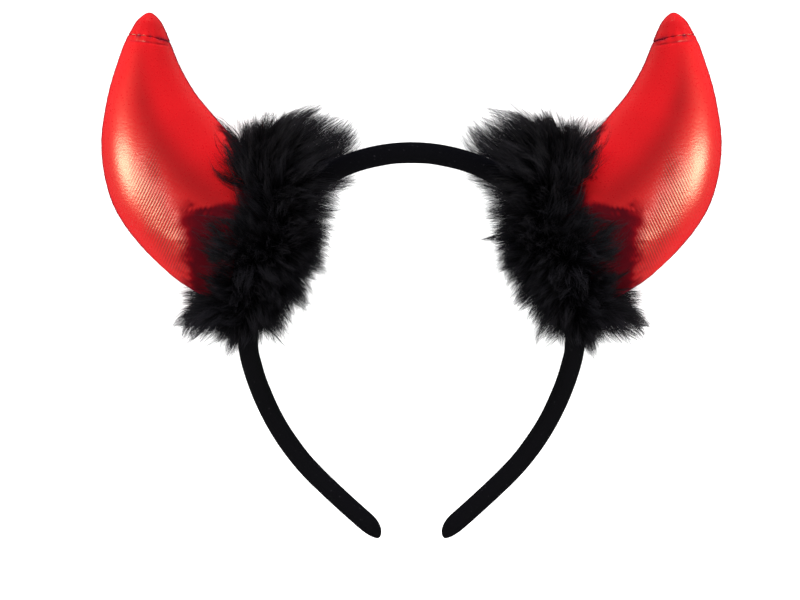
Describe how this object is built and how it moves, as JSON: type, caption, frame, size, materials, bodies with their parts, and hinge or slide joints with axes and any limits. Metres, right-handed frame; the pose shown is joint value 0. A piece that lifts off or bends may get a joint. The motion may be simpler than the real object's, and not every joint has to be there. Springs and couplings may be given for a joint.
{
  "type": "devil horns headband",
  "caption": "Padded open hoop headband with curved stuffed satin horns standing out of deep fur collars, for wearing over the head.",
  "frame": {"origin": "on the surface the headband lies on, under the middle of the whole", "axes": "X across the head from the left horn to the right one, Y from the band's ends to its crown, Z from the back of the headband to its front"},
  "size_m": [0.2366, 0.1998, 0.0569],
  "materials": {
    "band_cloth": "matte black cloth",
    "horn_satin": "glossy red satin",
    "collar_fur": "deep fluffy black fur"
  },
  "bodies": {
    "root": {"headband": "band_cloth", "horn_left": "horn_satin", "horn_right": "horn_satin", "horn_tip_left": "horn_satin", "horn_tip_right": "horn_satin", "fur_left": "collar_fur", "fur_right": "collar_fur"}
  },
  "joints": []
}
